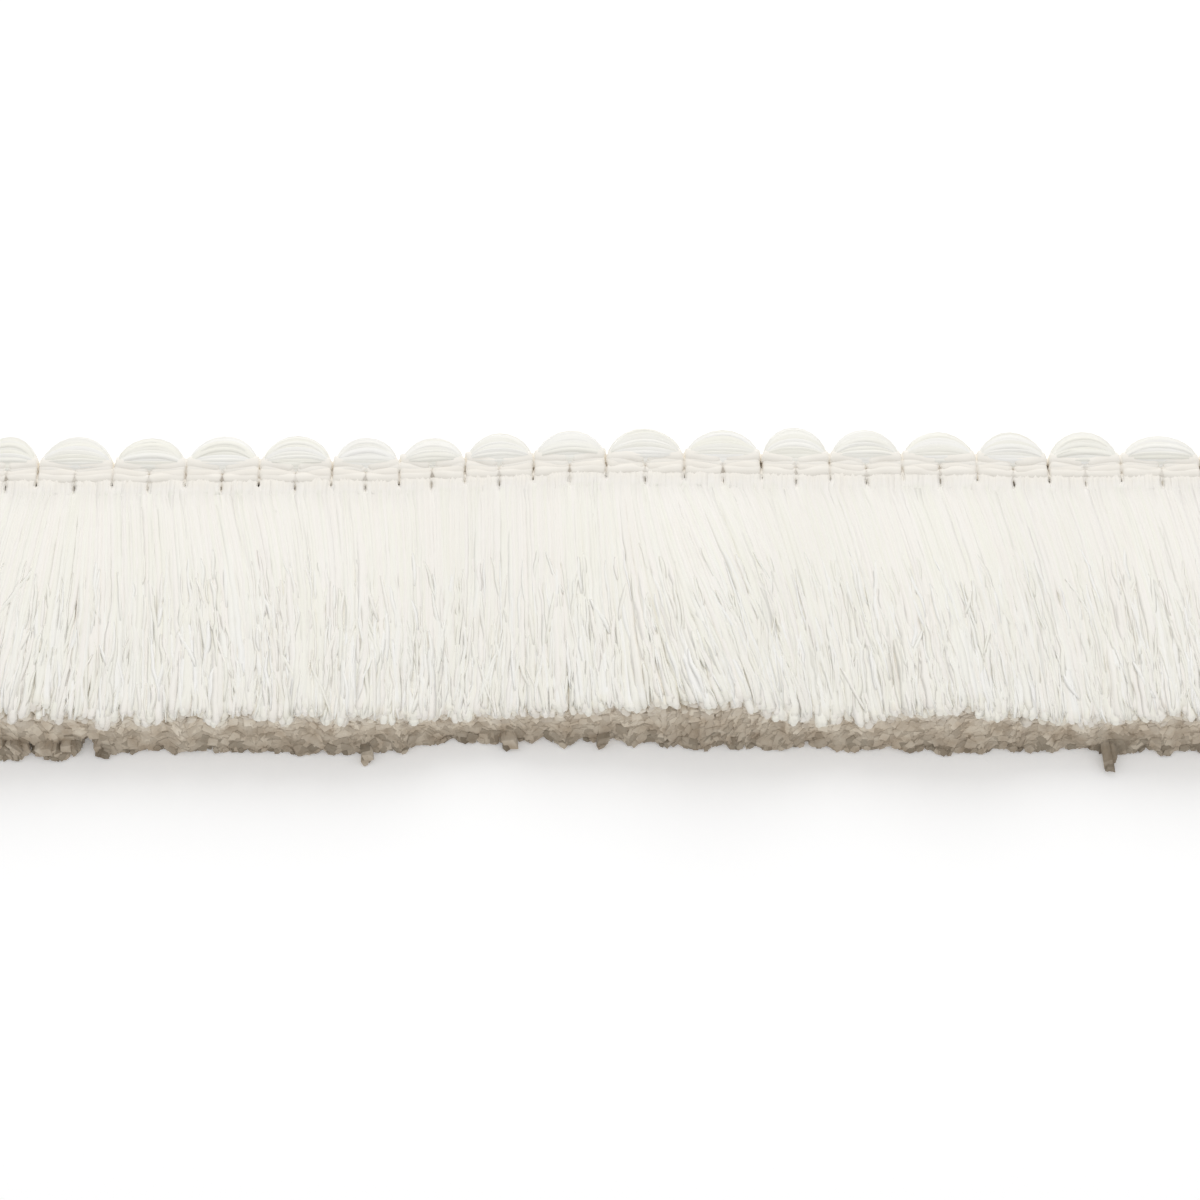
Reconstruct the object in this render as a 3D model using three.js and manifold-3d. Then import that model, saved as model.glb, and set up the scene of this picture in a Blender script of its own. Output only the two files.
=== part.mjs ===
// Brush fringe trim: a cut length of trimming lying on its back, in millimetres.
// +X runs along the trim, +Y towards its looped edge, +Z up from the surface that it lies on.
// The origin is the middle of the heading's flat back, where the trim is sewn on.
//
// The trim is two pieces. The heading is a narrow woven band, bound across bundles of yarn
// whose fat loops stand out along its upper edge. The brush is the cut yarn that hangs from it.

import * as THREE from "three";
import { mergeVertices } from "three/addons/utils/BufferGeometryUtils.js";
import Module from "manifold-3d";

const wasm = await Module();
wasm.setup();

// Loops, from the trim's left end to its right: width between valleys, and rise over them.
const loops = [
  { width: 6.9, rise: 2.4 },
  { width: 6.5, rise: 2.5 },
  { width: 7.95, rise: 2.5 },
  { width: 7.65, rise: 2.3 },
  { width: 7.75, rise: 2.5 },
  { width: 7.65, rise: 2.5 },
  { width: 7.1, rise: 2.3 },
  { width: 6.9, rise: 2.0 },
  { width: 7.2, rise: 2.3 },
  { width: 7.65, rise: 2.3 },
  { width: 8.25, rise: 2.5 },
  { width: 8.15, rise: 2.3 },
  { width: 7.2, rise: 2.8 },
  { width: 7.65, rise: 2.6 },
  { width: 7.85, rise: 2.3 },
  { width: 7.55, rise: 2.4 },
  { width: 7.65, rise: 2.5 },
  { width: 8.4, rise: 2.0 },
  { width: 7.9, rise: 2.4 },
];
const trimLength = loops.reduce((sum, loop) => sum + loop.width, 0);

// Heading
const headingThickness = 2.1;
const headingBack = 2.4; // Y of the band's upper edge, which shows in the valleys between loops
const headingFront = -2.6; // Y of the band's lower edge
const threadRows = 3; // rows of binding thread across the band
const furrowShare = 0.16; // of a leg of yarn's width, from its edge to its flat top
const furrowDepth = 0.85; // between two neighbouring legs of yarn
const threadGroove = 0.22; // between two rows of thread
const edgeRound = 0.35; // how much lower the band is along its two edges
const backAllowance = 1; // under the band, before its back is cut flat

// Loops' arches
const loopFoot = 1.6; // Y of the arches' feet, which the band holds
const loopTop = 2.5; // Y that the loops' rise is measured from
const loopThickness = 2.4;
const loopEye = 0.15; // radius of the pinhole in the middle of a loop
const loopGap = 0.3; // between two loops
const loopSides = 8;
const loopSteps = 6;

// Brush
const rootStripDepth = 1.2;
const rootHeight = 2.0; // of the brush where it leaves the heading
const puffPower = 1.7; // how soon the brush rises from there to its height at the cut end
const pieceGap = 0.3; // free space between the heading and the strip
const rootY = headingFront - pieceGap; // Y of the strip that the locks grow from
const rootInset = 0.4; // how far inside the strip a lock starts
const brushReach = 29.6; // from the strip's upper edge to the cut end along the floor
const lockColumns = loops.length * 5;
const lockFill = 0.84; // share of a column's width that its lock takes
const layerGap = 0.05; // share of the brush's height that parts two layers
const lockSteps = [1, 2, 2]; // lengthwise steps in each layer's locks, from the floor up
const lockLayers = lockSteps.length;
const lockTaper = 0.3; // how much narrower a lock is at its top
const endJitter = 0.45; // how much the locks' ends differ
const cutSlope = 0.22; // how far the cut end leans back for each millimetre of its height
const flowSteps = 12; // that the way of one yarn is worked out in

// How the trim lies, at even stations from 72 mm left of the origin to 72 mm right of it.
// sway: sideways shift of the whole trim. height: of the cut end over the floor.
// short: how much shorter the brush is there. leanTop and leanEnd: degrees to the right of
// straight down, where the yarn leaves the heading and at the cut end.
const stationStep = 12;
const stations = [
  { sway: -1.1, height: 6.4, short: 0.5, leanTop: -6, leanEnd: -5 },
  { sway: -1.1, height: 6.4, short: 0.5, leanTop: -5, leanEnd: -4 },
  { sway: -1.15, height: 5.5, short: 0.55, leanTop: 8, leanEnd: 0 },
  { sway: -1.1, height: 6.0, short: 0.6, leanTop: 14, leanEnd: 3 },
  { sway: -1.05, height: 5.9, short: 0.35, leanTop: 7, leanEnd: 0 },
  { sway: -0.6, height: 4.3, short: 1.4, leanTop: 2, leanEnd: -1 },
  { sway: 0.0, height: 5.5, short: 0.6, leanTop: 2, leanEnd: 5 },
  { sway: -0.1, height: 7.2, short: 0.0, leanTop: 15, leanEnd: 15 },
  { sway: -0.35, height: 4.8, short: 0.1, leanTop: 13, leanEnd: 3 },
  { sway: -0.3, height: 6.6, short: -0.2, leanTop: 11, leanEnd: 5 },
  { sway: -0.6, height: 4.8, short: 0.2, leanTop: 11, leanEnd: 3 },
  { sway: -0.5, height: 6.0, short: 0.1, leanTop: 8, leanEnd: 2 },
  { sway: -0.5, height: 6.0, short: 0.1, leanTop: 5, leanEnd: 2 },
];

// Yarn ends that stick out past the cut end: where along the trim, and how far.
const strayEnds = [
  { along: -58, extra: 0.8 },
  { along: -34, extra: 0.6 },
  { along: -9, extra: 0.7 },
  { along: 52, extra: 1.6 },
];

const cream = { color: 0xf1ede4, roughness: 0.85, metalness: 0 };

// A smooth value from the stations' column, at a place along the trim.
function lie(column, along) {
  const last = stations.length - 1;
  const place = THREE.MathUtils.clamp(along / stationStep + last / 2, 0, last);
  const before = Math.min(Math.floor(place), last - 1);
  const share = THREE.MathUtils.smoothstep(place - before, 0, 1);
  return THREE.MathUtils.lerp(stations[before][column], stations[before + 1][column], share);
}

// Moves each vertex of a closed geometry to where place puts it.
function bent(geometry, place) {
  const position = geometry.getAttribute("position");
  const point = new THREE.Vector3();
  for (let i = 0; i < position.count; i++) {
    place(point.fromBufferAttribute(position, i));
    position.setXYZ(i, point.x, point.y, point.z);
  }
  return geometry;
}

function solidOf(geometry) {
  geometry.deleteAttribute("normal");
  geometry.deleteAttribute("uv");
  const merged = mergeVertices(geometry);
  return new wasm.Manifold(
    new wasm.Mesh({
      numProp: 3,
      vertProperties: merged.getAttribute("position").array,
      triVerts: new Uint32Array(merged.index.array),
    }),
  );
}

function joined(geometries) {
  return geometries.map(solidOf).reduce((whole, piece) => whole.add(piece));
}

function meshOf(name, solid) {
  const { vertProperties, triVerts } = solid.getMesh();
  const geometry = new THREE.BufferGeometry();
  geometry.setAttribute("position", new THREE.BufferAttribute(vertProperties, 3));
  geometry.setIndex(new THREE.BufferAttribute(triVerts, 1));
  geometry.computeVertexNormals();
  const mesh = new THREE.Mesh(geometry, new THREE.MeshStandardMaterial(cream));
  mesh.name = name;
  return mesh;
}

// Where each loop starts along the trim, with the trim's end last.
const valleys = loops.reduce((places, loop) => [...places, places.at(-1) + loop.width], [
  -trimLength / 2,
]);

// A plain strip the length of the trim, lying on the floor and bent to the trim's sway.
function strip(backY, frontY, height) {
  const segments = 2 * (stations.length - 1);
  return bent(new THREE.BoxGeometry(1, 1, 1, segments, 1, 1), (point) => {
    const x = point.x * trimLength;
    const y = THREE.MathUtils.lerp(frontY, backY, point.y + 0.5);
    point.set(x, y + lie("sway", x), (point.z + 0.5) * height);
  });
}

// One loop: a fat arch of yarn that turns from one leg to the next.
function arch(index) {
  const { width, rise } = loops[index];
  const centre = (valleys[index] + valleys[index + 1]) / 2;
  const outerX = (width - loopGap) / 2;
  const outerY = loopTop + rise - loopFoot;
  const geometry = new THREE.CylinderGeometry(1, 1, 1, loopSides, loopSteps);
  return bent(geometry, (point) => {
    const turn = (point.y + 0.5) * Math.PI;
    const across = (point.x + 1) / 2;
    const x = centre + Math.cos(turn) * THREE.MathUtils.lerp(loopEye, outerX, across);
    const y = loopFoot + Math.sin(turn) * THREE.MathUtils.lerp(loopEye, outerY, across);
    point.set(x, y + lie("sway", x), ((point.z + 1) / 2) * loopThickness);
  });
}

// The band: its top is raised in legs of yarn, with a furrow at every loop's middle and at
// every valley, and the rows of binding thread cross them.
function band() {
  const legs = 2 * loops.length;
  const breaks = [0, furrowShare, 1 - furrowShare];
  const steps = legs * breaks.length;
  const rowSteps = 2 * threadRows;
  return bent(new THREE.BoxGeometry(1, 1, 1, steps, rowSteps, 1), (point) => {
    const step = Math.round((point.x + 0.5) * steps);
    const leg = Math.min(Math.floor(step / breaks.length), legs - 1);
    const inLeg = breaks[step - leg * breaks.length] ?? 1;
    const loop = Math.floor(leg / 2);
    const x = valleys[loop] + ((leg % 2) + inLeg) * (loops[loop].width / 2);
    const row = Math.round((point.y + 0.5) * rowSteps);
    const y = THREE.MathUtils.lerp(headingFront, headingBack, row / rowSteps);
    const inFurrow = step % breaks.length === 0;
    const onEdge = row === 0 || row === rowSteps;
    const sunk = (inFurrow ? furrowDepth : 0) + (onEdge ? edgeRound : 0);
    const groove = row % 2 === 0 && !onEdge ? threadGroove : 0;
    const top = headingThickness - Math.max(sunk, groove);
    point.set(x, y + lie("sway", x), point.z > 0 ? top : -backAllowance);
  });
}

// Height of the brush over the floor, at a share of the way from its root to its cut end.
function brushHeight(along, share) {
  const puff = 1 - (1 - share) ** puffPower;
  return THREE.MathUtils.lerp(rootHeight, lie("height", along), puff);
}

// Where along the trim the yarn from a root has come to, at a share of the way to its end.
function flow(root, share) {
  let along = root;
  for (let step = 0; step < flowSteps; step++) {
    const done = (share * (step + 0.5)) / flowSteps;
    const lean = THREE.MathUtils.lerp(lie("leanTop", along), lie("leanEnd", along), done);
    along += (Math.tan(THREE.MathUtils.degToRad(lean)) * brushReach * share) / flowSteps;
  }
  return along;
}

// One lock of cut yarn, four-sided, level on the floor in the lowest layer.
function lock(column, layer) {
  const brick = ((layer % 2) - 0.5) / 2;
  const lower = layer / lockLayers + (layer > 0 ? layerGap / 2 : 0);
  const upper = (layer + 1) / lockLayers - layerGap / 2;
  const columnWidth = trimLength / lockColumns;
  const start = (column + 0.5 + brick) * columnWidth - trimLength / 2;
  const end = flow(start, 1);
  const stray = strayEnds.find(({ along }) => Math.abs(along - end) < columnWidth / 2);
  const random = THREE.MathUtils.seededRandom(column * lockLayers + layer + 1);
  const extra = endJitter * (2 * random - 1) + (layer === 0 && stray ? stray.extra : 0);
  return bent(new THREE.BoxGeometry(1, 1, 1, 1, lockSteps[layer], 1), (point) => {
    const share = 0.5 - point.y;
    const level = THREE.MathUtils.lerp(lower, upper, point.z + 0.5);
    const root = start + point.x * columnWidth * lockFill * (1 - lockTaper * (point.z + 0.5));
    const along = flow(root, share);
    const setback = cutSlope * lie("height", end) * level;
    const length = brushReach - rootInset - lie("short", end) - setback + extra;
    const y = rootY - rootInset + lie("sway", root) - length * share;
    point.set(along, y, brushHeight(along, share) * level);
  });
}

// The band's underside is cut to one flat face before the loops are joined to it.
function heading() {
  const above = new THREE.BoxGeometry(2 * trimLength, trimLength, trimLength);
  above.translate(0, 0, trimLength / 2);
  const flat = solidOf(band()).intersect(solidOf(above));
  return flat.add(joined(loops.map((_, index) => arch(index))));
}

function brush() {
  const pieces = [strip(rootY, rootY - rootStripDepth, rootHeight)];
  for (let layer = 0; layer < lockLayers; layer++)
    for (let column = 0; column < lockColumns; column++) pieces.push(lock(column, layer));
  return joined(pieces);
}

const trim = new THREE.Group();
trim.add(meshOf("heading", heading()), meshOf("brush", brush()));

export default trim;
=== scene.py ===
"""Brush fringe trim: a cut length of cream fringe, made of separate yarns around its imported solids."""

import math

import bpy
import numpy as np
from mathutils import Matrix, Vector


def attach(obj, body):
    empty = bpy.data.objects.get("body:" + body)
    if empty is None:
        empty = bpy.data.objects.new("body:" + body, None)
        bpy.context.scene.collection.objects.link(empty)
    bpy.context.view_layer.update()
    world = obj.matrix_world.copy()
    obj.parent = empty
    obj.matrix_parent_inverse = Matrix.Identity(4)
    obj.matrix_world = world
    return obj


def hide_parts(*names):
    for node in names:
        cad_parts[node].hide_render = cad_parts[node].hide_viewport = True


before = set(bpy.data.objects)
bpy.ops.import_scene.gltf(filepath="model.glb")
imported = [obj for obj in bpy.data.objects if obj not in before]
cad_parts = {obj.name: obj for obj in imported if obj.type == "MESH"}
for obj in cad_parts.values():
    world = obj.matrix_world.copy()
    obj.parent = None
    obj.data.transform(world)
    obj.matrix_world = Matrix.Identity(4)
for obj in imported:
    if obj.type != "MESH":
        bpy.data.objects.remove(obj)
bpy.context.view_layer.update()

MM = 0.001
rng = np.random.default_rng(38)

# How the trim lies, as in the part's source: each loop's width and rise in mm, and even stations along it
LOOP_WIDTHS = [
    6.9, 6.5, 7.95, 7.65, 7.75, 7.65, 7.1, 6.9, 7.2, 7.65,
    8.25, 8.15, 7.2, 7.65, 7.85, 7.55, 7.65, 8.4, 7.9,
]
LOOP_RISES = [2.4, 2.5, 2.5, 2.3, 2.5, 2.5, 2.3, 2.0, 2.3, 2.3, 2.5, 2.3, 2.8, 2.6, 2.3, 2.4, 2.5, 2.0, 2.4]
STATION_STEP = 12 * MM
# At each station, how far the trim sways across, the brush's height and by how much it is shorter, in mm, and
# the degrees by which its yarns lean at their roots and at their ends
STATIONS = {
    "sway": [-1.1, -1.1, -1.15, -1.1, -1.05, -0.6, 0.0, -0.1, -0.35, -0.3, -0.6, -0.5, -0.5],
    "height": [6.4, 6.4, 5.5, 6.0, 5.9, 4.3, 5.5, 7.2, 4.8, 6.6, 4.8, 6.0, 6.0],
    "short": [0.5, 0.5, 0.55, 0.6, 0.35, 1.4, 0.6, 0.0, 0.1, -0.2, 0.2, 0.1, 0.1],
    "lean_top": [-6, -5, 8, 14, 7, 2, 2, 15, 13, 11, 11, 8, 5],
    "lean_end": [-5, -4, 0, 3, 0, -1, 5, 15, 3, 5, 3, 2, 2],
}
TRIM_LENGTH = sum(LOOP_WIDTHS) * MM
HEADING_TOP = 2.1 * MM
HEADING_FRONT = -2.6 * MM
ROOT_HEIGHT = 2.17 * MM  # of the brush, where it leaves the heading
ROOT_Y = HEADING_FRONT - 0.3 * MM
PUFF_POWER = 1.7  # how soon the brush rises from its root's height to its own
REACH = 29.6 * MM  # of the brush's lowest yarns, from root to cut end
CUT_SLOPE = 0.22  # how much shorter yarns are for their height


def lie(column, along):
    """A smooth value of one of the stations' columns, at places along the trim."""
    values = np.array(STATIONS[column], float)
    last = len(values) - 1
    place = np.clip(along / STATION_STEP + last / 2, 0, last)
    before = np.minimum(place.astype(int), last - 1)
    share = place - before
    share = share * share * (3 - 2 * share)
    return values[before] * (1 - share) + values[before + 1] * share


def lie_mm(column, along):
    return lie(column, along) * MM


def flow(root, shares):
    """Where along the trim the yarns from their roots have come to, at shares of the way to their ends."""
    along = [root]
    for start, end in zip(shares[:-1], shares[1:]):
        done = max((start + end) / 2, 0)
        lean = lie("lean_top", along[-1]) * (1 - done) + lie("lean_end", along[-1]) * done
        along.append(along[-1] + np.tan(np.radians(lean)) * REACH * (max(end, 0) - max(start, 0)))
    return np.stack(along, 1)


def brush_height(along, share):
    """Height of the brush over the floor, at a share of the way from its root to its cut end."""
    puff = 1 - (1 - np.clip(share, 0, 1)) ** PUFF_POWER
    return ROOT_HEIGHT * (1 - puff) + lie_mm("height", along) * puff


def loop_sides():
    """Where each loop starts along the trim, with the trim's end last."""
    return np.concatenate([[0], np.cumsum(LOOP_WIDTHS)]) * MM - TRIM_LENGTH / 2


def loop_centres():
    starts = loop_sides()
    return (starts[1:] + starts[:-1]) / 2


def make_ripple(shortest, longest, slowness=1.0, count=12):
    """A smooth random function of about unit size, of a place along the trim and one across it."""
    lengths = np.exp(rng.uniform(math.log(shortest), math.log(longest), count))
    phases = rng.uniform(0, 1, count)
    slants = rng.uniform(-1, 1, count) / slowness

    def ripple(along, across=0.0):
        turns = np.asarray(along)[..., None] / lengths + np.asarray(across)[..., None] * slants + phases
        return np.sin(2 * math.pi * turns).sum(-1) * math.sqrt(2 / count)

    return ripple


def wander(count, down, shortest, longest, waves=4):
    """Each yarn's own smooth random curve along its length, of about unit size."""
    lengths = np.exp(rng.uniform(math.log(shortest), math.log(longest), (count, 1, waves)))
    phases = rng.uniform(0, 1, (count, 1, waves))
    return np.sin(2 * math.pi * (down[..., None] / lengths + phases)).sum(-1) * math.sqrt(2 / waves)


# Tubes

TWIST = 150  # radians by which an oval yarn turns in a metre, at most
FIBRE_SHIFT = 1000  # mm by which the fibres of two yarns are out of step, at most


def tube_axes(paths, upright):
    """The directions along each tube, to its side and over it, at every ring."""
    tangent = np.gradient(paths, axis=1) * [1, 1, 0 if upright else 1]
    tangent /= np.linalg.norm(tangent, axis=2, keepdims=True)
    side = np.cross(tangent, [0, 0, 1])
    side /= np.linalg.norm(side, axis=2, keepdims=True)
    return tangent, side, np.cross(side, tangent)


def lengths_along(paths):
    """How far each ring is along its tube."""
    length = np.linalg.norm(np.diff(paths, axis=1), axis=2).cumsum(1)
    return np.concatenate([np.zeros((len(paths), 1)), length], 1)


def ring_shape(length, sides, squash):
    """Direction of each ring's points around their tube, and how far out the oval puts them."""
    start = rng.uniform(0, 2 * math.pi, (len(length), 1))
    twist = start + length * rng.uniform(-TWIST, TWIST, (len(length), 1))
    angle = start[..., None] + np.arange(sides) * (2 * math.pi / sides)
    oval = 1 + squash * np.cos(2 * (angle - twist[..., None]))
    angle = np.broadcast_to(angle, oval.shape)
    return np.stack([np.cos(angle), np.sin(angle)], -1), oval


def tube_faces(rings, sides):
    """One closed tube's faces, as numbers of its points: its rings' and then its two ends' middles."""
    across = np.arange(sides)
    beside = (across + 1) % sides
    row = np.arange(rings - 1)[:, None] * sides
    quads = np.stack([row + across, row + beside, row + sides + beside, row + sides + across], -1)
    last = (rings - 1) * sides
    middle = np.full(sides, rings * sides)
    first_end = np.stack([beside, across, middle], -1)
    last_end = np.stack([last + across, last + beside, middle + 1], -1)
    return quads.reshape(-1, 4), np.concatenate([first_end, last_end])


def yarn_marks(turn, length, blunt, tones, shade_and_light, painted_furrow_shade):
    """What the yarn's material reads at each point: its place among the fibres, how much of a cut end's painted
    shade it takes, and its tone.
    """
    count, rings, sides = turn.shape[:3]
    wall = rings * sides

    fibre = np.zeros((count, wall + 2, 3))
    fibre[:, :wall, :2] = turn.reshape(count, wall, 2)
    fibre[:, :wall, 2] = np.repeat(length, sides, 1) / MM
    fibre[:, -1, 2] = length[:, -1] / MM
    fibre[:, :, 2] += rng.uniform(0, FIBRE_SHIFT, (count, 1))

    cut = np.zeros((count, wall + 2))
    cut[:, :wall] = np.repeat(np.broadcast_to(painted_furrow_shade, length.shape), sides, 1)
    cut[:, :sides] = cut[:, -2:-1] = blunt[0]
    cut[:, wall - 2 * sides : wall] = cut[:, -1:] = blunt[1]

    tone = np.repeat(rng.uniform(*tones, (count, 1)), wall + 2, 1)
    tone[:, :wall] *= np.repeat(np.broadcast_to(shade_and_light, length.shape), sides, 1)
    return {"fibre": fibre.reshape(-1, 3), "cut": cut.ravel(), "tone": tone.ravel()}


def tubes(paths, radii, sides, squash=0.0, dome=0.35, blunt=(0.0, 1.0), tones=(0.0, 0.85), flat=1.0,
          upright=False, cutter=None, shade_and_light=1.0, painted_furrow_shade=0.0):
    """Closed tubes along paths (tubes, rings, 3) as points, faces and what the material reads.

    squash makes sections oval, and the ovals turn along the yarn. flat is their height over their width.
    blunt is how much of the cut ends' painted shade each of the two ends takes. upright sections stay so where
    the tube dips. cutter shapes the last end. The next to last argument scales the yarn's tone along it, as
    painted shade and light, and the last one is how much of the cut ends' painted shade the yarn takes there,
    as shade in the heading's furrows.
    """
    scale = np.array([1, 1, flat])
    paths = paths / scale
    count, rings = paths.shape[:2]
    tangent, side, over = tube_axes(paths, upright)
    length = lengths_along(paths)
    turn, oval = ring_shape(length, sides, squash)
    outward = turn[..., :1] * side[:, :, None] + turn[..., 1:] * over[:, :, None]
    wall = paths[:, :, None] + (radii[..., None] * oval)[..., None] * outward
    if cutter:
        wall[:, -1, :, 1] += cutter(wall[:, -1] * scale) - cutter(paths[:, -1, None] * scale)
    bulge = dome * radii[:, [0, -1], None]
    middles = paths[:, [0, -1]] + tangent[:, [0, -1]] * bulge * np.array([-1, 1])[None, :, None]
    points = np.concatenate([wall.reshape(count, -1, 3), middles], 1)

    quads, tris = tube_faces(rings, sides)
    offset = (np.arange(count) * points.shape[1])[:, None, None]
    return {
        "points": points.reshape(-1, 3) * scale,
        "quads": (quads[None] + offset).reshape(-1, 4),
        "tris": (tris[None] + offset).reshape(-1, 3),
        **yarn_marks(turn, length, blunt, tones, shade_and_light, painted_furrow_shade),
    }


def joined_mesh(name, groups):
    """One mesh of several groups of tubes, with their values for the material. All but their ends is smooth."""
    offsets = np.cumsum([0] + [len(group["points"]) for group in groups])
    points = np.concatenate([group["points"] for group in groups])
    quads = np.concatenate([group["quads"] + offset for group, offset in zip(groups, offsets)])
    tris = np.concatenate([group["tris"] + offset for group, offset in zip(groups, offsets)])
    mesh = bpy.data.meshes.new(name)
    mesh.vertices.add(len(points))
    mesh.vertices.foreach_set("co", points.astype(np.float32).ravel())
    mesh.loops.add(quads.size + tris.size)
    mesh.loops.foreach_set("vertex_index", np.concatenate([quads.ravel(), tris.ravel()]).astype(np.int32))
    mesh.polygons.add(len(quads) + len(tris))
    starts = np.concatenate([np.arange(len(quads)) * 4, quads.size + np.arange(len(tris)) * 3])
    mesh.polygons.foreach_set("loop_start", starts.astype(np.int32))
    mesh.polygons.foreach_set("use_smooth", np.arange(len(quads) + len(tris)) < len(quads))
    for kind in ("tone", "cut"):
        values = np.concatenate([group[kind] for group in groups]).astype(np.float32)
        mesh.attributes.new(kind, "FLOAT", "POINT").data.foreach_set("value", values)
    fibre = np.concatenate([group["fibre"] for group in groups]).astype(np.float32)
    mesh.attributes.new("fibre", "FLOAT_VECTOR", "POINT").data.foreach_set("vector", fibre.ravel())
    mesh.update(calc_edges=True)
    print(name, len(quads) * 2 + len(tris), "triangles")
    return mesh


def piece(name, groups, material, node):
    """One object of several groups of tubes, which stands for a CAD node and rides on the root body."""
    mesh = joined_mesh(name, groups)
    mesh.materials.append(material)
    made = bpy.data.objects.new(name, mesh)
    bpy.context.scene.collection.objects.link(made)
    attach(made, "root")
    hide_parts(node)


# Camera, light and floor

ELEVATION = 60  # degrees by which the camera looks down
LENS = 100
SENSOR = 36
PICTURE_WIDTH = 124.4 * MM  # of the trim that the picture's width shows
PICTURE_MIDDLE = (0.7 * MM, -15.3 * MM, 0)
NEAREST = 10 * MM
SKY = 0.725
BACK_LIGHT_PLACE = (0, 0.68, 0.62)
BACK_LIGHT_AIM = (0, -0.01, 0)
BACK_LIGHT_SIZE = 0.65
BACK_LIGHT_POWER = 3.0
BOUNCES = 12  # as light goes from yarn to yarn many times
FLOOR_HALF = 2.0
FLOOR_COLOUR = (0.97, 0.97, 0.97)
FLOOR_ROUGHNESS = 0.9
FLOOR_GLOW = 0.13
WHITE = (1, 1, 1, 1)


def make_camera():
    elevation = math.radians(ELEVATION)
    aim = Vector(PICTURE_MIDDLE)
    away = Vector((0, -math.cos(elevation), math.sin(elevation)))
    data = bpy.data.cameras.new("camera")
    data.lens = LENS
    data.sensor_width = SENSOR
    data.clip_start = NEAREST
    camera = bpy.data.objects.new("camera", data)
    camera.location = aim + away * (PICTURE_WIDTH * LENS / SENSOR)
    camera.rotation_euler = (-away).to_track_quat("-Z", "Y").to_euler()
    bpy.context.scene.collection.objects.link(camera)
    bpy.context.scene.camera = camera


def make_sky():
    world = bpy.data.worlds.new("studio")
    world.use_nodes = True
    background = world.node_tree.nodes["Background"]
    background.inputs["Color"].default_value = WHITE
    background.inputs["Strength"].default_value = SKY
    bpy.context.scene.world = world


def make_back_light():
    data = bpy.data.lights.new("back_light", "AREA")
    data.size = BACK_LIGHT_SIZE
    data.energy = BACK_LIGHT_POWER
    light = bpy.data.objects.new("back_light", data)
    light.location = BACK_LIGHT_PLACE
    towards = Vector(BACK_LIGHT_AIM) - Vector(BACK_LIGHT_PLACE)
    light.rotation_euler = towards.to_track_quat("-Z", "Y").to_euler()
    bpy.context.scene.collection.objects.link(light)


def make_light():
    make_sky()
    make_back_light()
    bpy.context.scene.view_settings.view_transform = "Standard"
    bpy.context.scene.cycles.diffuse_bounces = BOUNCES


def floor_material():
    material = bpy.data.materials.new("floor_white")
    material.use_nodes = True
    shader = material.node_tree.nodes["Principled BSDF"]
    shader.inputs["Base Color"].default_value = (*FLOOR_COLOUR, 1)
    shader.inputs["Roughness"].default_value = FLOOR_ROUGHNESS
    shader.inputs["Emission Color"].default_value = WHITE
    shader.inputs["Emission Strength"].default_value = FLOOR_GLOW
    return material


def make_floor():
    half = FLOOR_HALF
    corners = [(-half, -half, 0), (half, -half, 0), (half, half, 0), (-half, half, 0)]
    mesh = bpy.data.meshes.new("floor")
    mesh.from_pydata(corners, [], [(0, 1, 2, 3)])
    mesh.materials.append(floor_material())
    floor = bpy.data.objects.new("floor", mesh)
    bpy.context.scene.collection.objects.link(floor)


# Yarn's material

ROUGHNESS = 0.75
SHEEN = 0.25
SHEEN_ROUGHNESS = 0.4
# Colours of the yarn and of its cut ends, each with its place among the tones. The yarn's whitest tint is
# painted light on the loops and loose strands. The cut ends' colours are painted shade, darker and warmer than
# the yarn, as the shade between the fibres' ends, and darkest at the lowest tones
YARN_TINTS = [
    (0, (0.955, 0.915, 0.85)), (0.25, (0.96, 0.93, 0.875)), (0.5, (0.97, 0.945, 0.905)),
    (0.75, (0.95, 0.94, 0.87)), (1, (0.985, 0.98, 0.96)),
]
CUT_SHADE_TINTS = [(0, (0.24, 0.2, 0.145)), (0.25, (0.53, 0.46, 0.365)), (1, (1.0, 0.91, 0.76))]
# What multiplies those colours along fibres, in soft clouds and in the patches of cut ends
FIBRE_TINT = (0.985, 0.98, 0.97)
CLOUD_TINT = (0.975, 0.965, 0.94)
PATCH_TINT = (0.72, 0.66, 0.60)
# Noises: scale, detail and what stretches them
FIBRES = (2.2, 3, (1.0, 1.0, 0.35))
CLOUDS = (450, 2, (1.0, 0.3, 1.0))
PATCHES = (600, 3, None)
GRAIN = (2600, 4, None)
PATCH_RANGE = (0.3, 0.7)  # of the noise, from no patch to a full one
GRAIN_RELIEF = 4  # of a cut end's grain over that of the fibres
BUMP = 0.5
BUMP_DEPTH = 0.05 * MM


def feed(tree, value, socket):
    """Gives a socket its value, which is a plain one or another node's output."""
    if isinstance(value, bpy.types.NodeSocket):
        tree.links.new(value, socket)
    else:
        socket.default_value = value


def attribute(tree, name, output):
    node = tree.nodes.new("ShaderNodeAttribute")
    node.attribute_name = name
    return node.outputs[output]


def noise(tree, place, scale, detail, stretch):
    if stretch:
        mapping = tree.nodes.new("ShaderNodeMapping")
        mapping.inputs["Scale"].default_value = stretch
        tree.links.new(place, mapping.inputs["Vector"])
        place = mapping.outputs["Vector"]
    node = tree.nodes.new("ShaderNodeTexNoise")
    node.inputs["Scale"].default_value = scale
    node.inputs["Detail"].default_value = detail
    tree.links.new(place, node.inputs["Vector"])
    return node.outputs["Fac"]


def ramp(tree, factor, tints):
    """A colour from a list of places from 0 to 1 and their colours."""
    node = tree.nodes.new("ShaderNodeValToRGB")
    elements = node.color_ramp.elements
    for place, _ in tints[1:-1]:
        elements.new(place)
    for element, (_, colour) in zip(elements, tints):
        element.color = (*colour, 1)
    tree.links.new(factor, node.inputs["Fac"])
    return node.outputs["Color"]


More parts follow.
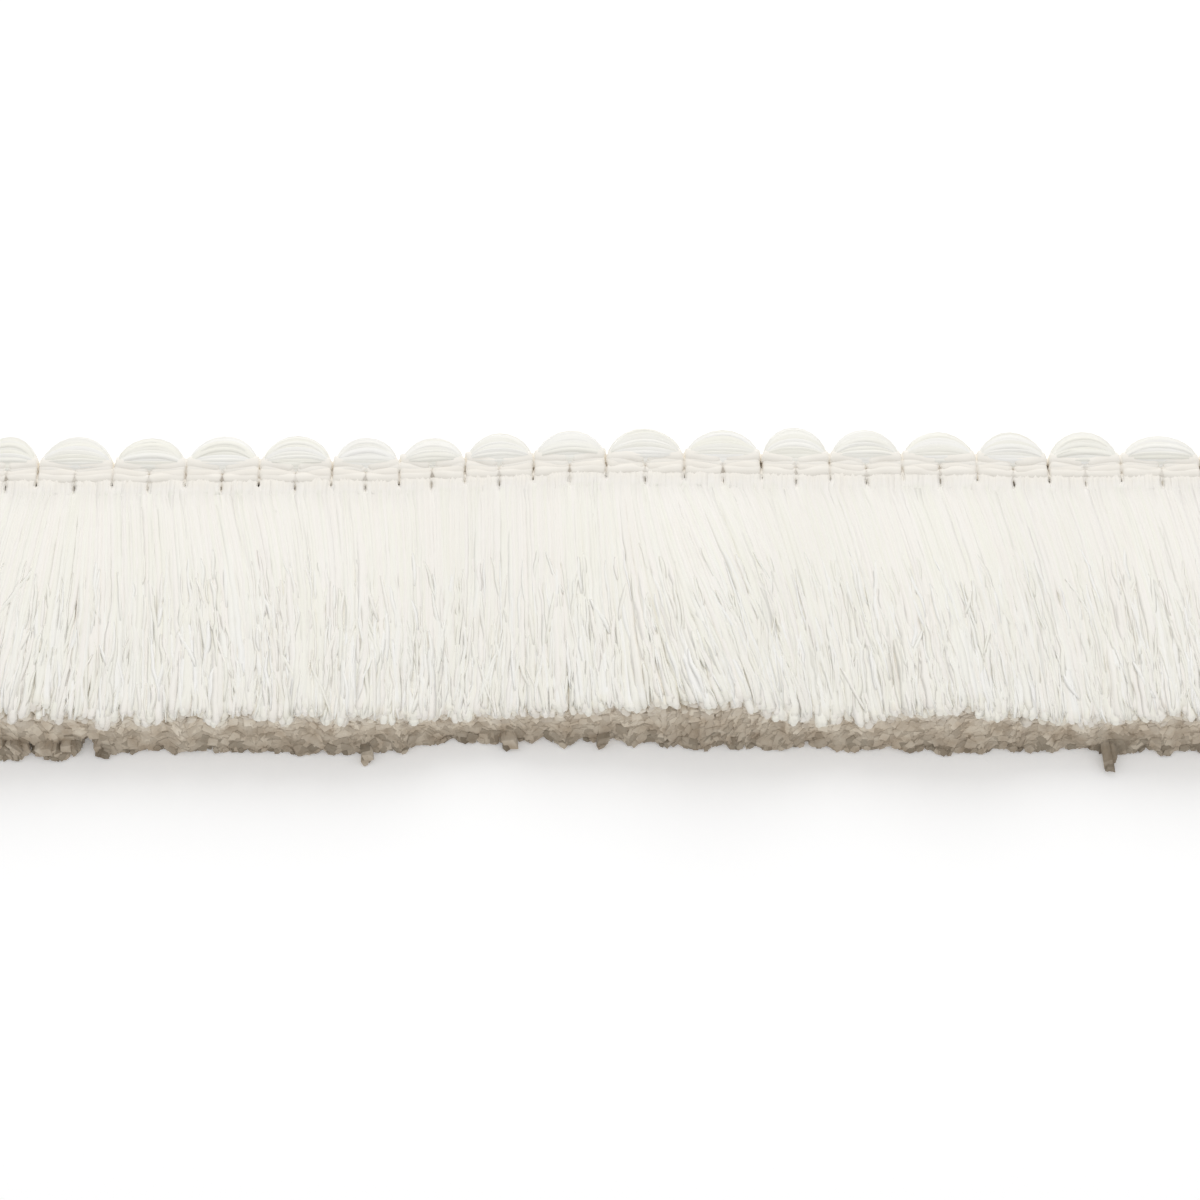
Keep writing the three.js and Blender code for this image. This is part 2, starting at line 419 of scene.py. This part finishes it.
def mix(tree, blend, factor, first, second):
    node = tree.nodes.new("ShaderNodeMix")
    node.data_type = "RGBA"
    node.blend_type = blend
    feed(tree, factor, node.inputs["Factor"])
    feed(tree, first, node.inputs["A"])
    feed(tree, second, node.inputs["B"])
    return node.outputs["Result"]


def calculate(tree, operation, *values):
    node = tree.nodes.new("ShaderNodeMath")
    node.operation = operation
    for value, socket in zip(values, node.inputs):
        feed(tree, value, socket)
    return node.outputs["Value"]


def patchy(tree, place):
    """Patches with soft edges, from 0 to 1."""
    node = tree.nodes.new("ShaderNodeMapRange")
    node.inputs["From Min"].default_value = PATCH_RANGE[0]
    node.inputs["From Max"].default_value = PATCH_RANGE[1]
    tree.links.new(noise(tree, place, *PATCHES), node.inputs["Value"])
    return node.outputs["Result"]


def yarn_relief(tree, place, fibres, cut):
    """The bump of fibres along the yarn, and of the grain in its cut ends."""
    grain = calculate(tree, "MULTIPLY", noise(tree, place, *GRAIN), cut)
    bump = tree.nodes.new("ShaderNodeBump")
    bump.inputs["Strength"].default_value = BUMP
    bump.inputs["Distance"].default_value = BUMP_DEPTH
    tree.links.new(calculate(tree, "MULTIPLY_ADD", grain, GRAIN_RELIEF, fibres), bump.inputs["Height"])
    return bump.outputs["Normal"]


def yarn_material(name):
    """Soft cream yarn: each one its own tint, fine fibres along it, and a darker, warmer cut end, which is
    painted shade.
    """
    material = bpy.data.materials.new(name)
    material.use_nodes = True
    tree = material.node_tree
    shader = tree.nodes["Principled BSDF"]
    shader.inputs["Roughness"].default_value = ROUGHNESS
    shader.inputs["Sheen Weight"].default_value = SHEEN
    shader.inputs["Sheen Roughness"].default_value = SHEEN_ROUGHNESS

    place = tree.nodes.new("ShaderNodeTexCoord").outputs["Object"]
    tone = attribute(tree, "tone", "Fac")
    cut = attribute(tree, "cut", "Fac")
    fibres = noise(tree, attribute(tree, "fibre", "Vector"), *FIBRES)

    side = mix(tree, "MULTIPLY", fibres, ramp(tree, tone, YARN_TINTS), (*FIBRE_TINT, 1))
    side = mix(tree, "MULTIPLY", noise(tree, place, *CLOUDS), side, (*CLOUD_TINT, 1))
    # The cut ends' colour, painted shade mottled in patches, wherever the cut attribute is set, the heading's
    # furrows too
    end = mix(tree, "MULTIPLY", patchy(tree, place), ramp(tree, tone, CUT_SHADE_TINTS), (*PATCH_TINT, 1))
    tree.links.new(mix(tree, "MIX", cut, side, end), shader.inputs["Base Color"])
    tree.links.new(yarn_relief(tree, place, fibres, cut), shader.inputs["Normal"])
    return material


# Brush

# Layers which show from above: share of the brush's height, yarns, stations along them and sides
FACE_LAYERS = [(0.87, 420, 10, 5), (0.93, 420, 10, 5), (0.97, 500, 20, 5), (1.0, 500, 20, 5)]
CORE_LEVELS = [0.1, 0.17, 0.24, 0.31, 0.38, 0.45, 0.52, 0.59, 0.66, 0.73, 0.8]
CORE_LAYER = (350, 4, 4)
BACK_LEVELS = [0.0, 0.05]
BACK_LAYER = (540, 7, 5)
FACE_FLAT = 0.5  # height of the face's yarn over its width
UNDER_THREAD = -0.086  # the share at which the face's yarn comes out from under the heading's last thread
UNDER_HEADING = -0.02  # the share at which the other yarn starts
# Each kind of yarn: its size, how loose it is, where it starts, how far in its cut end's painted shade reaches,
# and how much the levels of a layer's yarns are mixed
FACE_YARN = (0.24 * MM, 1.0, UNDER_THREAD, 0.3 * MM, 0.006)
CORE_YARN = (0.25 * MM, 0.6, UNDER_HEADING, 1.5 * MM, 0.035)
BACK_YARN = (0.2 * MM, 0.8, UNDER_HEADING, 4 * MM, 0.0)
FACE_POWER = 8  # how soon what only the face has fades in the layers under it
EVEN_STATIONS = 0.85  # 1 is even, and less has more of a yarn's stations near its end
ROOT_JITTER = 0.3  # of the yarns' pitch

TOGETHER = 0.06 * MM  # how far neighbours stray as one
ALONE = 0.035 * MM  # how far a yarn strays alone at its end, and about a third of that at its root
ALONE_AT_ROOT = 0.35
ALONE_OVER = 0.01 * MM  # the same, up and down
ALONE_OVER_AT_ROOT = 0.3
ASTRAY = 1.1  # degrees by which single yarns lean from their neighbours
YARN_WAVES = (3 * MM, 8 * MM)  # the shortest and longest in which a yarn strays
FREE_POWER = 1.5  # how late along its way a yarn comes free
TUFTS = 0.13  # mm by which the face's tufts rise and fall
TUFTS_DOWN = 0.05  # mm by which they all lie lower
LAYERS_DOWN = 0.04 * MM  # by which every layer lies under its share of the height
ROOTS_DOWN = 0.3 * MM  # by which the face's yarn starts lower, out of sight

# Half a yarn's width over its size: as the yarns differ, at its root, and what it gains up to its end
SIZE_SPREAD = (0.85, 1.15)
ROOT_SIZE = 1.45
END_SIZE = 0.55
UNEVEN_SIZE = 0.1  # by which a yarn's width varies along it
BOUND = 0.9  # how much wider the face's yarn is where it is bound
BOUND_LENGTH = 1.5 * MM  # within which that fades
SQUASH = 0.14  # how oval the yarn is
BLOOM = 1.3  # how much wider a yarn's cut end is, inside the brush
FACE_TAPER = 0.45  # by how much the face's yarn narrows at its end
END_DOME = 0.02  # how far a cut end bulges, over the yarn's half width

RAGGED = 0.045  # mm by which a layer's yarns differ in length
RAGGED_FACE = 0.17  # what the face's yarns add to that
RAGGED_FLOOR = 0.03  # what the lowest yarns add to it
RIM = 0.42 * MM  # by which tufts of the face are longer or shorter
LUMPS = 0.17 * MM  # of the cut face
LOW_LUMPS = 0.3 * MM  # of its lower edge, up to LOW
LOW = 1.2 * MM
LUMP_LIMIT = 1.3  # what flattens the lower edge's lumps, in their own unit
LUMP_MEAN = 0.8  # what they are about, so that they don't change the length on the whole
# Tufts and notches of the lowest yarns: where along, half their width and how much longer, in mm, and up to
# what share of the brush's height
FLOOR_ENDS = [
    (-59.0, 1.5, 0.9, 0.2), (-56.7, 0.4, -1.6, 0.3), (-54.1, 1.9, 0.9, 0.2), (-50.9, 1.05, -1.8, 0.42),
    (-49.5, 0.5, 0.7, 0.12), (-38.4, 0.5, -0.8, 0.2), (-22.7, 0.28, 1.2, 0.12), (-8.5, 0.28, 1.2, 0.12),
    (0.9, 0.32, 1.0, 0.12), (21.6, 0.5, -0.9, 0.2), (52.0, 0.3, 2.6, 0.16),
]

# Stitches at the loops' centres and sides: how far below the heading's middle, and half their length
CENTRE_STITCH = (-1.75 * MM, 0.8 * MM)
SIDE_STITCH = (-1.3 * MM, 0.6 * MM)
STITCH_PARTS = (0.3 * MM, 0.4 * MM)  # how far yarn is pushed aside, and how far from the stitch that reaches
STITCH_DRAWS = (0.2 * MM, 0.25 * MM)  # how far it is drawn down, and within what distance
STITCH_HOLDS = 0.75 * MM  # the distance within which it isn't wider for being bound

# Slits in the brush's face, and loose strands on it
PARTINGS = 240
PARTING_REACH = 0.5 * MM  # how far to its sides a slit pushes yarn away
WISPS = 1700
WISP_RINGS = 7
WISP_LEAN = 3.5  # degrees by which a strand lies across its neighbours
WISP_STRAYS = 0.06 * MM  # how far a strand strays to its sides
WISP_OVER = 0.01 * MM  # the same, up and down
WISP_WAVES = (3 * MM, 9 * MM)


def floor_ends(along, level):
    """How much longer the yarns near the floor are in some tufts, and shorter in some notches."""
    extra = 0
    for where, half, longer, highest in FLOOR_ENDS:
        extra = extra + longer * MM * np.exp(-(((along / MM - where) / half) ** 4)) * (level < highest)
    return extra


def stitch_marks(x, y):
    """How far yarn is parted and drawn down, and how much it is held, at each loop's two stitches."""
    parted, drawn, held = 0, 0, 0
    for places, (middle, half) in ((loop_centres(), CENTRE_STITCH), (loop_sides(), SIDE_STITCH)):
        aside = x[..., None] - places
        aside = np.take_along_axis(aside, np.abs(aside).argmin(-1)[..., None], -1)[..., 0]
        near = np.exp(-(((y - middle) / half) ** 4))
        parted = parted + STITCH_PARTS[0] * np.sign(aside) * np.exp(-((aside / STITCH_PARTS[1]) ** 2)) * near
        drawn = drawn + STITCH_DRAWS[0] * np.exp(-((aside / STITCH_DRAWS[1]) ** 2)) * near
        held = held + np.exp(-((aside / STITCH_HOLDS) ** 4)) * near
    return parted, drawn, np.minimum(held, 1)


def make_partings(count):
    """Short slits in the face: the root of the yarn there, share of its way, half the length, and width."""
    root = rng.uniform(-TRIM_LENGTH / 2, TRIM_LENGTH / 2, count)
    share = 0.3 + 0.75 * rng.uniform(0, 1, count) ** 0.75
    half = rng.uniform(0.8, 2.6, count) * MM / REACH
    width = rng.uniform(0.1, 0.3, count) * MM * (0.4 + 0.6 * share)
    return root, share, half, width


def opened(root, share, partings):
    """How far the slits push the yarn aside."""
    places, centres, half, width = partings
    aside = root[:, None] - places
    push = width * np.sign(aside) * np.exp(-np.abs(aside / PARTING_REACH) ** 1.5)
    near = np.exp(-np.abs((share[..., None] - centres) / half) ** 2.5)
    return (push[:, None] * near).sum(-1)


def tuft_lift(shared, along, down):
    """How far the tufts of the brush's face rise and fall."""
    free = np.clip(down / REACH, 0, 1) ** FREE_POWER
    return (TUFTS * shared["tufts"](along, down) - TUFTS_DOWN) * MM * free


def cut_line(shared, along, height):
    """How much shorter than the brush's reach the yarn is that ends at a place along it and a height."""
    low = np.clip(1 - height / LOW, 0, 1)
    rounded = np.minimum(np.abs(shared["low_lumps"](along, height)), LUMP_LIMIT) - LUMP_MEAN
    lumps = LUMPS * shared["lumps"](along, height) + LOW_LUMPS * low * rounded
    return lie_mm("short", along) + CUT_SLOPE * height - lumps


def yarn_stations(first, steps, cut_depth):
    """Shares of a yarn's way at which it has rings, with its cut end's colour from the last but one."""
    under = np.linspace(first, 0, 6 if first == UNDER_THREAD else 2)
    shares = np.concatenate([under[:-1], np.linspace(0, 1, steps) ** EVEN_STATIONS])
    shares[-1] = 1 - cut_depth / REACH
    return np.append(shares, 1)


def yarn_lengths(shared, end, end_height, level, levels):
    """How long each yarn of a layer is, of those that end at places along the trim and heights."""
    on_face = level**FACE_POWER
    spread = RAGGED + RAGGED_FACE * on_face + RAGGED_FLOOR * (level < CORE_LEVELS[0])
    ragged = rng.normal(0, spread * MM, len(end)) + floor_ends(end, levels)
    ragged += RIM * on_face * shared["rim"](end)
    return REACH - cut_line(shared, end, end_height) + ragged


def strayed(shared, along, down, inside, loose):
    """Places along the trim of yarns that have strayed with their neighbours and alone."""
    free = inside**FREE_POWER * loose
    x = along + TOGETHER * free * shared["locks"](along, down)
    x += ALONE * (ALONE_AT_ROOT + free) * wander(len(x), down, *YARN_WAVES)
    lean = np.radians(ASTRAY) * rng.normal(0, 1, (len(x), 1))
    return x + lean * REACH * 0.5 * inside**3 * loose**3


def yarn_radii(size, level, down, inside, held):
    """Half the width of a layer's yarns: more where the heading binds them, and at cut ends inside."""
    on_face = level**FACE_POWER
    radii = size * rng.uniform(*SIZE_SPREAD, (len(down), 1)) * (ROOT_SIZE + END_SIZE * inside)
    radii = radii * (1 + BOUND * on_face * np.exp(-inside * REACH / BOUND_LENGTH) * (1 - held))
    radii = radii * (1 + UNEVEN_SIZE * wander(len(down), down, *YARN_WAVES))
    radii[:, -2:] *= BLOOM if CORE_LEVELS[0] <= level < FACE_LAYERS[0][0] else 1
    radii[:, -1] *= 1 - FACE_TAPER * on_face
    return radii


def yarn_shade_and_light(share):
    """How much of its tone a yarn has along it: less under the heading, as painted shade, and more towards its
    end, as painted light on the brush's lower part.
    """
    out = np.clip(share * 20 + 1.4, 0, 1)
    whiter = np.where(share < 0.98, 0.9 + 0.3 * np.clip(share, 0, 1), 1)
    return (0.2 + 0.8 * out) * whiter


def brush_layer(shared, level, layer, yarn, flat=1.0, partings=None):
    """One layer of cut yarn. Level 0 lies on the floor, and level 1 is the brush's upper face."""
    count, steps, sides = layer
    size, loose, first, cut_depth, mixed = yarn
    on_face = level**FACE_POWER
    shares = yarn_stations(first, steps, cut_depth)
    pitch = TRIM_LENGTH / count
    jitter = rng.uniform(-ROOT_JITTER, ROOT_JITTER, count) * pitch
    root = (np.arange(count) + 0.5) * pitch - TRIM_LENGTH / 2 + jitter
    levels = np.clip(level + rng.uniform(-mixed, mixed, count), 0, 1)
    along = flow(root, shares)
    share = np.broadcast_to(shares, along.shape)
    inside = np.clip(share, 0, 1)
    down = share * REACH
    height = brush_height(along, share)

    length = yarn_lengths(shared, along[:, -1], levels * height[:, -1], level, levels)
    y = ROOT_Y + lie_mm("sway", root)[:, None] - length[:, None] * share
    x = strayed(shared, along, down, inside, loose)
    parted, drawn, held = stitch_marks(x, y - lie_mm("sway", x))
    x += parted
    if partings:
        x += opened(root, share, partings) * on_face

    radii = yarn_radii(size, level, down, inside, held)
    lift = tuft_lift(shared, along, down) * loose * min(level * 2, 1)
    restless = ALONE_OVER * (ALONE_OVER_AT_ROOT + inside**FREE_POWER * loose)
    lift += restless * wander(count, down, *YARN_WAVES) - LAYERS_DOWN
    tall = radii * flat
    z = tall + levels[:, None] * (height - 2 * tall) + lift - level * drawn
    z[:, 0] -= level * ROOTS_DOWN
    points = np.stack([x, y, np.maximum(z, tall * (1 + SQUASH))], -1)
    # Lower layers take lower tones, so their cut ends are darker towards the floor: painted shade
    return tubes(
        points, radii, sides, squash=SQUASH, dome=END_DOME, blunt=(0, 1 - 0.9 * on_face), flat=flat,
        tones=(0.4 * level, 0.3 + 0.55 * level), shade_and_light=yarn_shade_and_light(share),
        cutter=lambda ends: cut_line(shared, ends[..., 0], ends[..., 2]),
    )


def wisp_ends():
    """Shares of the brush's way at which each loose strand starts and ends."""
    first = 0.25 + 0.65 * rng.uniform(0, 1, WISPS) ** 0.6
    last = np.minimum(first + rng.uniform(0.1, 0.32, WISPS), rng.uniform(0.97, 1.02, WISPS))
    return first[:, None], last[:, None]


def flow_at(root, shares):
    """Where along the trim yarns from their roots have come to, at each yarn's own shares of the way."""
    table = np.linspace(0, 1.05, 22)
    flows = flow(root, table)
    return np.stack([np.interp(shares[i], table, flows[i]) for i in range(len(root))])


def wisps(shared, partings):
    """Loose strands on the brush's face, thin at both their ends."""
    way = np.linspace(0, 1, WISP_RINGS)
    first, last = wisp_ends()
    shares = first + (last - first) * way
    root = rng.uniform(-TRIM_LENGTH / 2, TRIM_LENGTH / 2, WISPS)
    along = flow_at(root, shares)
    down = shares * REACH
    lean = np.radians(WISP_LEAN * rng.standard_t(3, WISPS).clip(-6, 6))[:, None]
    astray = lean * (way - 0.5) * (last - first) * REACH
    x = along + astray + WISP_STRAYS * wander(WISPS, down, *WISP_WAVES) + opened(root, shares, partings)
    x = np.clip(x, -TRIM_LENGTH / 2, TRIM_LENGTH / 2)
    length = REACH - lie_mm("short", along[:, -1]) - CUT_SLOPE * lie_mm("height", along[:, -1])
    y = ROOT_Y + lie_mm("sway", root)[:, None] - length[:, None] * shares
    size = rng.uniform(0.12, 0.34, (WISPS, 1)) * MM
    over = WISP_OVER * wander(WISPS, down, *WISP_WAVES) - 0.03 * MM - 0.55 * size * FACE_FLAT
    z = brush_height(x, shares) + tuft_lift(shared, along, down) + over
    radii = size * (0.2 + 0.8 * np.sin(math.pi * (0.05 + 0.9 * way)) ** 0.8)
    # The loose strands take the highest tones, whiter than the brush: painted highlight
    return tubes(np.stack([x, y, z], -1), radii, 4, blunt=(0, 0), tones=(0.5, 1.0), flat=FACE_FLAT)


def make_brush(material):
    """The brush's pieces, from layers which share their locks, tufts and lumps."""
    partings = make_partings(PARTINGS)
    shared = {
        "locks": make_ripple(1.4 * MM, 5.0 * MM, 9 * MM),
        "tufts": make_ripple(2 * MM, 7 * MM, 12 * MM),
        "lumps": make_ripple(3 * MM, 12 * MM, 6 * MM),
        "low_lumps": make_ripple(3 * MM, 8 * MM, 6 * MM),
        "rim": make_ripple(1.2 * MM, 8 * MM),
    }
    for number, (level, *layer) in enumerate(FACE_LAYERS):
        face = brush_layer(shared, level, layer, FACE_YARN, FACE_FLAT, partings)
        piece(f"brush_face_{number}", [face], material, "brush")
    half = len(CORE_LEVELS) // 2
    for name, levels in (("brush_lower", CORE_LEVELS[:half]), ("brush_upper", CORE_LEVELS[half:])):
        layers = [brush_layer(shared, level, CORE_LAYER, CORE_YARN) for level in levels]
        piece(name, layers, material, "brush")
    back = [brush_layer(shared, level, BACK_LAYER, BACK_YARN) for level in BACK_LEVELS]
    piece("brush_back", back, material, "brush")
    piece("brush_wisps", [wisps(shared, partings)], material, "brush")


# Loops

YARN = 0.28 * MM  # radius of the heading's thread
STRANDS_IN_LOOP = 28
RISES_FROM = 2.6 * MM  # where across the trim the loops' rises are counted from
LOOP_THICKNESS = 2.4 * MM
LOOP_GAP = 0.05 * MM
LOOP_TILT = 0.02  # slope by which a loop's top rises towards its outer side
LOOP_SAG = -0.3 * MM  # how far out the loop's inner side lies, at its middle
LOOP_ROUND_OUT = 0.97  # 1 is a round section, and less fills its corners
LOOP_ROUND_UP = 0.75
LOOP_LOOSE = 0.02 * MM  # how far a strand strays
PINCH_Y = 1.35 * MM  # where a loop's yarns are drawn together, between two loops
PINCH_Z = 1.35 * MM
# Half the size of the bundle there, across the trim and up
PINCH_OUT = 0.25 * MM
PINCH_UP = 0.35 * MM
# Slopes of the legs beyond the pinched sides, across the trim and down
LEG_ACROSS = 1.1
LEG_DOWN = 0.35
# Places of a strand's rings, from 0 at one pinched side to 1 at the other, with its legs beyond both
LOOP_WAY = np.concatenate(
    [[-0.9, -0.5, -0.2], np.sin(np.linspace(-1, 1, 13) * math.pi / 2) / 2 + 0.5, [1.2, 1.5, 1.9]]
)
FAN = np.sqrt(np.clip(1 - (2 * LOOP_WAY - 1) ** 2, 0, 1))  # how far the loop has opened there
DIVE = np.clip(np.abs(2 * LOOP_WAY - 1) - 1, 0, 2) * MM  # of the legs, beyond the pinched sides


def fuller(value, power):
    """A sine or cosine whose section is fuller than round, for a power below 1."""
    return np.sign(value) * np.abs(value) ** power


def loop_paths(index, ring, spread, size):
    """Paths of a loop's strands, at angles around its section and at a spread from its middle out."""
    starts = loop_sides()
    half_width = (starts[index + 1] - starts[index] - LOOP_GAP) / 2
    outer = RISES_FROM + LOOP_RISES[index] * MM
    middle = (outer + LOOP_SAG) / 2
    out = middle + ((outer - LOOP_SAG) / 2 - size) * fuller(np.cos(ring), LOOP_ROUND_OUT) * spread
    up = (LOOP_THICKNESS / 2 - size) * fuller(np.sin(ring), LOOP_ROUND_UP) * spread
    over = LOOP_THICKNESS / 2 + up + LOOP_TILT * (out - middle)

    shape = FAN ** (1.15 + 0.2 * (1 - np.cos(ring)))
    x = loop_centres()[index] + (2 * np.clip(LOOP_WAY, 0, 1) - 1) * (half_width - size)
    y = PINCH_Y - PINCH_OUT * np.cos(ring) + (out - PINCH_Y) * shape - LEG_ACROSS * DIVE
    z = PINCH_Z + PINCH_UP * np.sin(ring) * (1 - 0.8 * FAN) + (over - PINCH_Z) * FAN**0.7 - LEG_DOWN * DIVE
    y = y + lie_mm("sway", x) + LOOP_LOOSE * FAN * wander(len(y), LOOP_WAY[None] * 6 * MM, *YARN_WAVES)
    return np.stack(np.broadcast_arrays(x, y, np.maximum(z, 1.12 * size)), -1)


def loop_strands(index):
    """The yarns of one loop, which fan out from one pinched side and in to the other, and its core."""
    ring = (np.arange(STRANDS_IN_LOOP) * (2 * math.pi / STRANDS_IN_LOOP) + rng.uniform(0, 1))[:, None]
    paths = loop_paths(index, ring, rng.uniform(0.992, 1.0, (STRANDS_IN_LOOP, 1)), 1.85 * YARN)
    radii = YARN * rng.uniform(2.15, 2.25, (STRANDS_IN_LOOP, 1)) * (0.6 + 0.4 * FAN)
    paths[..., 2] = np.maximum(paths[..., 2], 1.1 * radii)
    core = loop_paths(index, np.full((1, 1), 0.1), 0.0, YARN)
    core_radii = 0.9 * MM * (0.25 + 0.75 * FAN)[None]
    # The loops take the highest tones, whiter: painted light on their pale, rim-lit domes and their shaded
    # lower side
    return [tubes(paths, radii, 6, squash=0.1, tones=(0.75, 1.0)), tubes(core, core_radii, 10)]


# Heading

THREAD_ROWS = 4
THREAD_FLAT = 0.6
THREAD_SIZE = 1.25  # its half width over the rows' distance
THREAD_EXTRA = 0.12 * MM  # what is added to that
THREAD_LIFT = 0.1 * MM  # of the threads' tops over the solid heading's
ROWS_END = -0.95 * MM  # where the next row would lie, which the brush's yarn covers
FIRST_ROW_AT_CENTRE = 0.35 * MM
FIRST_ROW_BEYOND = 1.05 * MM  # how much further out the first row lies at a loop's sides
FIRST_ROW_LIFT = 0.14 * MM  # of the first row over the others, but for its dips
THREAD_WAVES = (3 * MM, 9 * MM)
# Rings from one furrow of the heading to the next, and how far out of the furrow the thread is at each
HUMP_WAY = np.array([0, 0.016, 0.045, 0.08, 0.16, 0.33, 0.5, 0.67, 0.84, 0.92, 0.955, 0.984])
HUMP = np.array([0, 0.2, 0.82, 0.95, 1, 1, 1, 1, 1, 0.95, 0.82, 0.2])
# How far each row dips in the furrows at the loops' sides and in those at their centres, in mm
DIPS = np.array([[1.3, 1.3, 1.2, 0.7], [1.3, 1.2, 0.9, 0.15]])
# How much of the cut ends' painted shade goes into the heading's furrows, as shade
SHADE_IN_DIPS = 0.75
SHADE_IN_FIRST_DIPS = 0.1  # at the loops' sides, where the first row lies over them
# Yarns inside the heading: places across it, heights in mm, rings, and what they leave free at a furrow
CORE_ROWS = np.array([1.6, 0.2, -1.2, -2.5]) * MM
CORE_HEIGHTS = (0.6, 1.2)
CORE_RINGS = 340
FURROW_HALF = 0.45 * MM


def furrows():
    """Where the heading is drawn in along the trim: at the loops' sides and centres in turn."""
    return np.sort(np.concatenate([loop_sides(), loop_centres()]))


def from_centres(x):
    """How far places along the trim are from their loop's centre, from 0 there to 1 at its sides."""
    starts = loop_sides()
    loop = np.clip(np.searchsorted(starts, x, "right") - 1, 0, len(LOOP_WIDTHS) - 1)
    return np.abs(x - loop_centres()[loop]) / ((starts[loop + 1] - starts[loop]) / 2)


def thread(row):
    """One thread that binds the heading, over every leg of yarn and down into the furrows between, with painted
    shade in the furrows.
    """
    places = furrows()
    width = np.diff(places)
    x = np.append((places[:-1, None] + width[:, None] * HUMP_WAY).ravel(), places[-1])
    raised = np.append(np.tile(HUMP, len(width)), 0)
    number = np.abs(x[:, None] - places).argmin(1)
    deep = rng.uniform(0.1, 1.0, len(places))[number]
    depth = DIPS[:, row][number % 2] * deep * MM
    dip_shading = np.where((number % 2 == 0) & (row == 0), SHADE_IN_FIRST_DIPS, SHADE_IN_DIPS) * deep

    aside = from_centres(x)
    first_row = FIRST_ROW_AT_CENTRE + FIRST_ROW_BEYOND * aside**0.35
    share = row / THREAD_ROWS
    y = first_row * (1 - share) + ROWS_END * share + 0.07 * MM * make_ripple(*THREAD_WAVES)(x)
    spread = rng.uniform(0.92, 1.08, len(places))[number] * (0.7 + 0.3 * raised)
    wide = (THREAD_SIZE * ((first_row - ROWS_END) / THREAD_ROWS) + THREAD_EXTRA) * spread
    thick = wide * THREAD_FLAT
    z = HEADING_TOP + THREAD_LIFT - thick - depth * (1 - raised) + 0.03 * MM * make_ripple(*THREAD_WAVES)(x)
    z += FIRST_ROW_LIFT * (row == 0) * np.minimum(aside / 0.1, 1)

    path = np.stack([x, y + lie_mm("sway", x), z], -1)[None]
    under = path * [1, 1, 0]
    under[..., 2] = thick + 0.5 * MM * (1 - raised)
    # The furrows take the cut ends' darkest colours as painted shade, and the thread's low tones keep them dark
    look = {"blunt": (1.0, 1.0), "tones": (0.05, 0.3), "painted_furrow_shade": dip_shading * (1 - raised)}
    return [tubes(line, wide[None], 8, flat=THREAD_FLAT, upright=True, **look) for line in (path, under)]


def heading_core():
    """The yarn inside the heading, which fills it under its threads."""
    x = np.linspace(-TRIM_LENGTH / 2, TRIM_LENGTH / 2, CORE_RINGS)
    x = x[np.abs(x[:, None] - furrows()).min(1) > FURROW_HALF]
    place = np.broadcast_to(x[:, None], (len(x), len(CORE_ROWS)))
    groups = []
    for height in CORE_HEIGHTS:
        path = np.stack([place, CORE_ROWS + lie_mm("sway", place), np.full(place.shape, height * MM)], -1)
        groups.append(tubes(path, np.full(place.shape, YARN), 4))
    return groups


def make_heading(material):
    loops = [group for index in range(len(LOOP_WIDTHS)) for group in loop_strands(index)]
    piece("loops", loops, material, "heading")
    threads = [group for row in range(THREAD_ROWS) for group in thread(row)]
    piece("binding", threads + heading_core(), material, "heading")


make_camera()
make_light()
make_floor()
make_heading(yarn_material("heading_yarn"))
make_brush(yarn_material("brush_yarn"))
